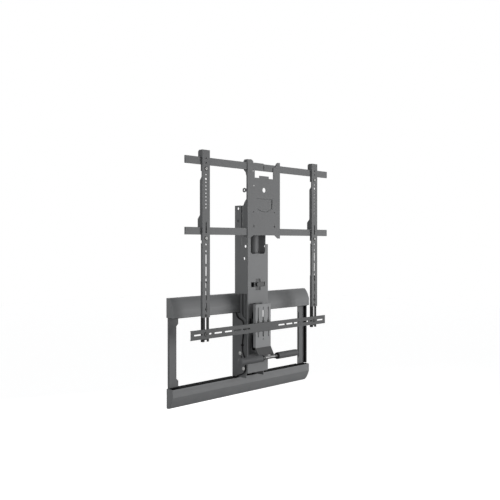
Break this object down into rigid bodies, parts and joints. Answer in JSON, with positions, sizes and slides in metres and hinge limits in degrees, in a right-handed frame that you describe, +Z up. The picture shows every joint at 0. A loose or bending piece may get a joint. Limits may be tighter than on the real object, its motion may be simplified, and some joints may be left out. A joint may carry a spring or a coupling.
{
  "type": "television wall mount",
  "caption": "Wall mount for a large flat screen: a parallel lift arm lowers the screen unit, which swivels and carries a T-bar handle and a perforated speaker bar.",
  "frame": {"origin": "on the wall plane, in the middle of the wall frame", "axes": "+X to the right as seen from the room, +Y into the wall, +Z up"},
  "size_m": [0.908, 0.195, 1.0815],
  "materials": {
    "powder_coat": "satin powder coat",
    "light_coat": "satin powder coat",
    "black_paint": "satin black",
    "zinc_steel": "zinc plated",
    "dark_steel": "blackened",
    "satin_steel": "satin",
    "grip_rubber": "matte",
    "black_plastic": "matte",
    "cable_jacket": "matte",
    "cover_plastic": "satin"
  },
  "bodies": {
    "wall_base": {"frame_top_rail": "powder_coat", "frame_bottom_rail": "powder_coat", "left_upright": "powder_coat", "right_upright": "powder_coat", "cable_channel": "black_plastic", "top_cover": "cover_plastic", "bottom_cover": "cover_plastic", "pivot_bracket": "powder_coat", "lower_pivot_pins": "zinc_steel", "spring_anchor_pin": "zinc_steel", "service_cable": "cable_jacket", "cable_clips": "black_plastic"},
    "front_link": {"front_link": "powder_coat", "front_link_bushes": "black_plastic"},
    "rear_link": {"rear_link": "powder_coat", "rear_link_bushes": "black_plastic", "spring_link_pin": "zinc_steel"},
    "gas_cylinders": {"gas_spring_cylinders": "black_paint"},
    "gas_rods": {"gas_spring_rods": "satin_steel"},
    "knuckle": {"knuckle": "black_paint", "upper_pivot_pins": "zinc_steel", "swivel_post": "zinc_steel", "swivel_washer": "black_plastic", "swivel_nut": "zinc_steel"},
    "screen_unit": {"mast": "powder_coat", "swivel_brackets": "black_paint", "swivel_bush": "black_plastic", "adjuster_plate": "powder_coat", "head_carrier": "black_paint", "carrier_bolts": "zinc_steel", "head_plate": "powder_coat", "head_plate_bolts": "dark_steel", "upper_rail": "powder_coat", "lower_rail": "powder_coat", "rail_clamps": "powder_coat", "clamp_bolts": "zinc_steel", "left_screen_bracket": "powder_coat", "right_screen_bracket": "powder_coat", "extension_bolts": "zinc_steel", "handle_slide": "powder_coat", "handle_bolts": "dark_steel"},
    "tension_adjuster": {"tension_adjuster": "powder_coat"},
    "handle": {"handle_bracket": "light_coat", "handle_rod": "satin_steel", "left_grip": "grip_rubber", "right_grip": "grip_rubber", "grip_collars": "black_plastic"},
    "speaker_carriage": {"left_extension": "black_paint", "right_extension": "black_paint", "speaker_bar": "powder_coat", "bar_bolts": "dark_steel"}
  },
  "joints": [
    {"name": "lift", "type": "hinge", "parent": "wall_base", "child": "front_link", "pos_m": [0, -0.075, -0.105], "axis": [1, 0, 0], "range_deg": [0, 100]},
    {"name": "rear_link_pivot", "type": "hinge", "parent": "wall_base", "child": "rear_link", "pos_m": [0, -0.053, -0.037], "axis": [1, 0, 0], "range_deg": [0, 100]},
    {"name": "knuckle_pivot", "type": "hinge", "parent": "front_link", "child": "knuckle", "pos_m": [0, -0.075, 0.335], "axis": [1, 0, 0], "range_deg": [-100, 0]},
    {"name": "gas_cylinder_pivot", "type": "hinge", "parent": "rear_link", "child": "gas_cylinders", "pos_m": [0, -0.058, 0.263], "axis": [1, 0, 0], "range_deg": [-2.3, 0]},
    {"name": "gas_rod_slide", "type": "slide", "parent": "gas_cylinders", "child": "gas_rods", "axis": [0, -0.0082, -1], "range_m": [-0.0254, 0]},
    {"name": "swivel", "type": "hinge", "parent": "knuckle", "child": "screen_unit", "pos_m": [0, -0.072, 0.508], "axis": [0, 0, 1], "range_deg": [-8.5, 8.5]},
    {"name": "handle_height", "type": "slide", "parent": "screen_unit", "child": "handle", "axis": [0, 0, 1], "range_m": [-0.06, 0]},
    {"name": "speaker_height", "type": "slide", "parent": "screen_unit", "child": "speaker_carriage", "axis": [0, 0, 1], "range_m": [-0.07, 0.045]},
    {"name": "tension", "type": "hinge", "parent": "screen_unit", "child": "tension_adjuster", "pos_m": [0, -0.107, 0.276], "axis": [0, 1, 0], "range_deg": [-180, 180]}
  ],
  "couplings": [
    {"joint": "rear_link_pivot", "follows": "lift", "ratio": 1},
    {"joint": "knuckle_pivot", "follows": "lift", "ratio": -1},
    {"joint": "gas_cylinder_pivot", "follows": "lift", "ratio": -0.0225},
    {"joint": "gas_rod_slide", "follows": "lift", "m_per_rad": -0.0145}
  ]
}
